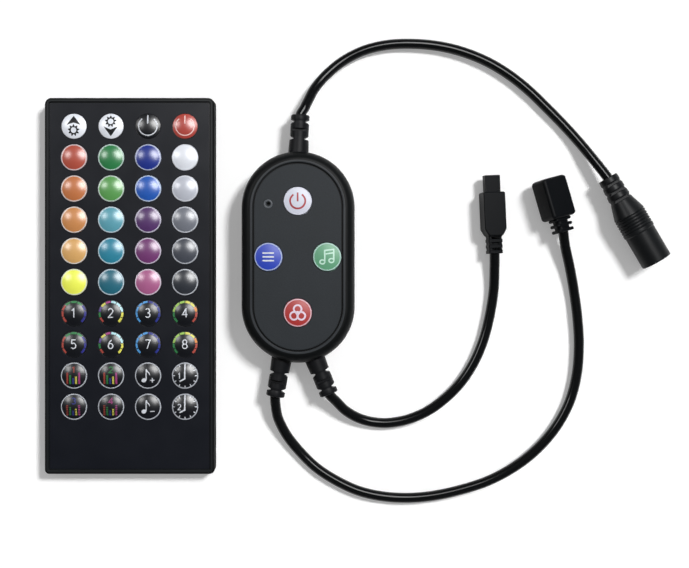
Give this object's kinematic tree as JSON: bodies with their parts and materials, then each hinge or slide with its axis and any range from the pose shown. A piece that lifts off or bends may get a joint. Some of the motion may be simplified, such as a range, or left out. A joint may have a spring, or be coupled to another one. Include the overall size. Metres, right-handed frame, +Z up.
{
  "type": "led strip controller",
  "caption": "Controller set for a colour LED strip: a flat remote handset with round keys and an in-line control box with power and strip leads.",
  "frame": {"origin": "middle of the handset and box side by side, on the surface that they lie on", "axes": "+X from the handset to the box, +Y to the handset's emitter end, +Z up from the surface"},
  "size_m": [0.2096, 0.1572, 0.0133],
  "materials": {
    "silver_white_key": "glossy silvery white",
    "black_key": "glossy black with prints",
    "red_key": "glossy",
    "green_key": "glossy",
    "blue_key": "glossy",
    "orange_red_key": "glossy",
    "light_green_key": "glossy",
    "sky_blue_key": "glossy",
    "pale_grey_key": "glossy",
    "orange_key": "glossy",
    "turquoise_key": "glossy",
    "violet_key": "glossy",
    "mid_grey_key": "glossy",
    "amber_key": "glossy",
    "teal_blue_key": "glossy",
    "purple_key": "glossy",
    "dark_grey_key": "glossy",
    "yellow_key": "glossy",
    "dark_teal_key": "glossy",
    "pink_key": "glossy",
    "charcoal_key": "glossy",
    "key_ring": "silver print",
    "key_print": "printed marks",
    "handset_panel": "satin black",
    "handset_shell": "fine satin grain",
    "box_shell": "fine grain",
    "box_face": "satin grain",
    "button_white": "glossy with a printed mark",
    "button_blue": "glossy with a printed mark",
    "button_green": "glossy with a printed mark",
    "button_red": "glossy with a printed mark",
    "circuit_board": "solder mask",
    "cell_steel": "nickel plated",
    "contact_metal": "plated",
    "gland_rubber": "satin",
    "cord_jacket": "smooth, slightly glossy",
    "connector_plastic": "satin"
  },
  "bodies": {
    "controller": {"controller_cover": "box_face", "controller_base": "box_shell", "controller_board": "circuit_board", "cable_glands": "gland_rubber", "power_lead": "cord_jacket", "strip_lead_inner": "cord_jacket", "strip_lead_outer": "cord_jacket", "power_socket": "connector_plastic", "strip_plug": "connector_plastic", "strip_socket": "connector_plastic", "lead_contacts": "contact_metal"},
    "handset": {"handset_front_shell": "handset_panel", "handset_back_shell": "handset_shell", "handset_board": "circuit_board"},
    "battery_drawer": {"battery_drawer": "handset_shell", "coin_cell": "cell_steel"},
    "key_brighter": {"key_brighter": "silver_white_key"},
    "key_dimmer": {"key_dimmer": "silver_white_key"},
    "key_off": {"key_off": "black_key"},
    "key_on": {"key_on": "red_key"},
    "key_red": {"key_red": "red_key"},
    "key_green": {"key_green": "green_key"},
    "key_blue": {"key_blue": "blue_key"},
    "key_white": {"key_white": "silver_white_key"},
    "key_orange_red": {"key_orange_red": "orange_red_key"},
    "key_light_green": {"key_light_green": "light_green_key"},
    "key_sky_blue": {"key_sky_blue": "sky_blue_key"},
    "key_pale_grey": {"key_pale_grey": "pale_grey_key"},
    "key_orange": {"key_orange": "orange_key"},
    "key_turquoise": {"key_turquoise": "turquoise_key"},
    "key_violet": {"key_violet": "violet_key"},
    "key_mid_grey": {"key_mid_grey": "mid_grey_key"},
    "key_amber": {"key_amber": "amber_key"},
    "key_teal_blue": {"key_teal_blue": "teal_blue_key"},
    "key_purple": {"key_purple": "purple_key"},
    "key_dark_grey": {"key_dark_grey": "dark_grey_key"},
    "key_yellow": {"key_yellow": "yellow_key"},
    "key_dark_teal": {"key_dark_teal": "dark_teal_key"},
    "key_pink": {"key_pink": "pink_key"},
    "key_charcoal": {"key_charcoal": "charcoal_key"},
    "key_jump_3": {"key_jump_3": "black_key"},
    "key_fade_3": {"key_fade_3": "black_key"},
    "key_flash": {"key_flash": "black_key"},
    "key_fast": {"key_fast": "black_key"},
    "key_jump_7": {"key_jump_7": "black_key"},
    "key_fade_7": {"key_fade_7": "black_key"},
    "key_auto": {"key_auto": "black_key"},
    "key_slow": {"key_slow": "black_key"},
    "key_music_1": {"key_music_1": "black_key"},
    "key_music_2": {"key_music_2": "black_key"},
    "key_mic_up": {"key_mic_up": "black_key"},
    "key_timer_1": {"key_timer_1": "black_key"},
    "key_music_3": {"key_music_3": "black_key"},
    "key_music_4": {"key_music_4": "black_key"},
    "key_mic_down": {"key_mic_down": "black_key"},
    "key_timer_2": {"key_timer_2": "black_key"},
    "button_power": {"button_power": "button_white"},
    "button_mode": {"button_mode": "button_blue"},
    "button_music": {"button_music": "button_green"},
    "button_colour": {"button_colour": "button_red"}
  },
  "joints": [
    {"name": "handset_lift", "type": "slide", "parent": "controller", "child": "handset", "axis": [0, 0, 1], "range_m": [0, 0.12]},
    {"name": "key_brighter_press", "type": "slide", "parent": "handset", "child": "key_brighter", "axis": [0, 0, -1], "range_m": [0, 0.00035], "stiffness_N_per_m": 1500, "springref_m": -0.0003},
    {"name": "key_dimmer_press", "type": "slide", "parent": "handset", "child": "key_dimmer", "axis": [0, 0, -1], "range_m": [0, 0.00035], "stiffness_N_per_m": 1500, "springref_m": -0.0003},
    {"name": "key_off_press", "type": "slide", "parent": "handset", "child": "key_off", "axis": [0, 0, -1], "range_m": [0, 0.00035], "stiffness_N_per_m": 1500, "springref_m": -0.0003},
    {"name": "key_on_press", "type": "slide", "parent": "handset", "child": "key_on", "axis": [0, 0, -1], "range_m": [0, 0.00035], "stiffness_N_per_m": 1500, "springref_m": -0.0003},
    {"name": "key_red_press", "type": "slide", "parent": "handset", "child": "key_red", "axis": [0, 0, -1], "range_m": [0, 0.00035], "stiffness_N_per_m": 1500, "springref_m": -0.0003},
    {"name": "key_green_press", "type": "slide", "parent": "handset", "child": "key_green", "axis": [0, 0, -1], "range_m": [0, 0.00035], "stiffness_N_per_m": 1500, "springref_m": -0.0003},
    {"name": "key_blue_press", "type": "slide", "parent": "handset", "child": "key_blue", "axis": [0, 0, -1], "range_m": [0, 0.00035], "stiffness_N_per_m": 1500, "springref_m": -0.0003},
    {"name": "key_white_press", "type": "slide", "parent": "handset", "child": "key_white", "axis": [0, 0, -1], "range_m": [0, 0.00035], "stiffness_N_per_m": 1500, "springref_m": -0.0003},
    {"name": "key_orange_red_press", "type": "slide", "parent": "handset", "child": "key_orange_red", "axis": [0, 0, -1], "range_m": [0, 0.00035], "stiffness_N_per_m": 1500, "springref_m": -0.0003},
    {"name": "key_light_green_press", "type": "slide", "parent": "handset", "child": "key_light_green", "axis": [0, 0, -1], "range_m": [0, 0.00035], "stiffness_N_per_m": 1500, "springref_m": -0.0003},
    {"name": "key_sky_blue_press", "type": "slide", "parent": "handset", "child": "key_sky_blue", "axis": [0, 0, -1], "range_m": [0, 0.00035], "stiffness_N_per_m": 1500, "springref_m": -0.0003},
    {"name": "key_pale_grey_press", "type": "slide", "parent": "handset", "child": "key_pale_grey", "axis": [0, 0, -1], "range_m": [0, 0.00035], "stiffness_N_per_m": 1500, "springref_m": -0.0003},
    {"name": "key_orange_press", "type": "slide", "parent": "handset", "child": "key_orange", "axis": [0, 0, -1], "range_m": [0, 0.00035], "stiffness_N_per_m": 1500, "springref_m": -0.0003},
    {"name": "key_turquoise_press", "type": "slide", "parent": "handset", "child": "key_turquoise", "axis": [0, 0, -1], "range_m": [0, 0.00035], "stiffness_N_per_m": 1500, "springref_m": -0.0003},
    {"name": "key_violet_press", "type": "slide", "parent": "handset", "child": "key_violet", "axis": [0, 0, -1], "range_m": [0, 0.00035], "stiffness_N_per_m": 1500, "springref_m": -0.0003},
    {"name": "key_mid_grey_press", "type": "slide", "parent": "handset", "child": "key_mid_grey", "axis": [0, 0, -1], "range_m": [0, 0.00035], "stiffness_N_per_m": 1500, "springref_m": -0.0003},
    {"name": "key_amber_press", "type": "slide", "parent": "handset", "child": "key_amber", "axis": [0, 0, -1], "range_m": [0, 0.00035], "stiffness_N_per_m": 1500, "springref_m": -0.0003},
    {"name": "key_teal_blue_press", "type": "slide", "parent": "handset", "child": "key_teal_blue", "axis": [0, 0, -1], "range_m": [0, 0.00035], "stiffness_N_per_m": 1500, "springref_m": -0.0003},
    {"name": "key_purple_press", "type": "slide", "parent": "handset", "child": "key_purple", "axis": [0, 0, -1], "range_m": [0, 0.00035], "stiffness_N_per_m": 1500, "springref_m": -0.0003},
    {"name": "key_dark_grey_press", "type": "slide", "parent": "handset", "child": "key_dark_grey", "axis": [0, 0, -1], "range_m": [0, 0.00035], "stiffness_N_per_m": 1500, "springref_m": -0.0003},
    {"name": "key_yellow_press", "type": "slide", "parent": "handset", "child": "key_yellow", "axis": [0, 0, -1], "range_m": [0, 0.00035], "stiffness_N_per_m": 1500, "springref_m": -0.0003},
    {"name": "key_dark_teal_press", "type": "slide", "parent": "handset", "child": "key_dark_teal", "axis": [0, 0, -1], "range_m": [0, 0.00035], "stiffness_N_per_m": 1500, "springref_m": -0.0003},
    {"name": "key_pink_press", "type": "slide", "parent": "handset", "child": "key_pink", "axis": [0, 0, -1], "range_m": [0, 0.00035], "stiffness_N_per_m": 1500, "springref_m": -0.0003},
    {"name": "key_charcoal_press", "type": "slide", "parent": "handset", "child": "key_charcoal", "axis": [0, 0, -1], "range_m": [0, 0.00035], "stiffness_N_per_m": 1500, "springref_m": -0.0003},
    {"name": "key_jump_3_press", "type": "slide", "parent": "handset", "child": "key_jump_3", "axis": [0, 0, -1], "range_m": [0, 0.00035], "stiffness_N_per_m": 1500, "springref_m": -0.0003},
    {"name": "key_fade_3_press", "type": "slide", "parent": "handset", "child": "key_fade_3", "axis": [0, 0, -1], "range_m": [0, 0.00035], "stiffness_N_per_m": 1500, "springref_m": -0.0003},
    {"name": "key_flash_press", "type": "slide", "parent": "handset", "child": "key_flash", "axis": [0, 0, -1], "range_m": [0, 0.00035], "stiffness_N_per_m": 1500, "springref_m": -0.0003},
    {"name": "key_fast_press", "type": "slide", "parent": "handset", "child": "key_fast", "axis": [0, 0, -1], "range_m": [0, 0.00035], "stiffness_N_per_m": 1500, "springref_m": -0.0003},
    {"name": "key_jump_7_press", "type": "slide", "parent": "handset", "child": "key_jump_7", "axis": [0, 0, -1], "range_m": [0, 0.00035], "stiffness_N_per_m": 1500, "springref_m": -0.0003},
    {"name": "key_fade_7_press", "type": "slide", "parent": "handset", "child": "key_fade_7", "axis": [0, 0, -1], "range_m": [0, 0.00035], "stiffness_N_per_m": 1500, "springref_m": -0.0003},
    {"name": "key_auto_press", "type": "slide", "parent": "handset", "child": "key_auto", "axis": [0, 0, -1], "range_m": [0, 0.00035], "stiffness_N_per_m": 1500, "springref_m": -0.0003},
    {"name": "key_slow_press", "type": "slide", "parent": "handset", "child": "key_slow", "axis": [0, 0, -1], "range_m": [0, 0.00035], "stiffness_N_per_m": 1500, "springref_m": -0.0003},
    {"name": "key_music_1_press", "type": "slide", "parent": "handset", "child": "key_music_1", "axis": [0, 0, -1], "range_m": [0, 0.00035], "stiffness_N_per_m": 1500, "springref_m": -0.0003},
    {"name": "key_music_2_press", "type": "slide", "parent": "handset", "child": "key_music_2", "axis": [0, 0, -1], "range_m": [0, 0.00035], "stiffness_N_per_m": 1500, "springref_m": -0.0003},
    {"name": "key_mic_up_press", "type": "slide", "parent": "handset", "child": "key_mic_up", "axis": [0, 0, -1], "range_m": [0, 0.00035], "stiffness_N_per_m": 1500, "springref_m": -0.0003},
    {"name": "key_timer_1_press", "type": "slide", "parent": "handset", "child": "key_timer_1", "axis": [0, 0, -1], "range_m": [0, 0.00035], "stiffness_N_per_m": 1500, "springref_m": -0.0003},
    {"name": "key_music_3_press", "type": "slide", "parent": "handset", "child": "key_music_3", "axis": [0, 0, -1], "range_m": [0, 0.00035], "stiffness_N_per_m": 1500, "springref_m": -0.0003},
    {"name": "key_music_4_press", "type": "slide", "parent": "handset", "child": "key_music_4", "axis": [0, 0, -1], "range_m": [0, 0.00035], "stiffness_N_per_m": 1500, "springref_m": -0.0003},
    {"name": "key_mic_down_press", "type": "slide", "parent": "handset", "child": "key_mic_down", "axis": [0, 0, -1], "range_m": [0, 0.00035], "stiffness_N_per_m": 1500, "springref_m": -0.0003},
    {"name": "key_timer_2_press", "type": "slide", "parent": "handset", "child": "key_timer_2", "axis": [0, 0, -1], "range_m": [0, 0.00035], "stiffness_N_per_m": 1500, "springref_m": -0.0003},
    {"name": "battery_drawer_slide", "type": "slide", "parent": "handset", "child": "battery_drawer", "axis": [0, -1, 0], "range_m": [0, 0.025]},
    {"name": "button_power_press", "type": "slide", "parent": "controller", "child": "button_power", "axis": [0, 0, -1], "range_m": [0, 0.0003], "stiffness_N_per_m": 3000, "springref_m": -0.0003},
    {"name": "button_mode_press", "type": "slide", "parent": "controller", "child": "button_mode", "axis": [0, 0, -1], "range_m": [0, 0.0003], "stiffness_N_per_m": 3000, "springref_m": -0.0003},
    {"name": "button_music_press", "type": "slide", "parent": "controller", "child": "button_music", "axis": [0, 0, -1], "range_m": [0, 0.0003], "stiffness_N_per_m": 3000, "springref_m": -0.0003},
    {"name": "button_colour_press", "type": "slide", "parent": "controller", "child": "button_colour", "axis": [0, 0, -1], "range_m": [0, 0.0003], "stiffness_N_per_m": 3000, "springref_m": -0.0003}
  ]
}
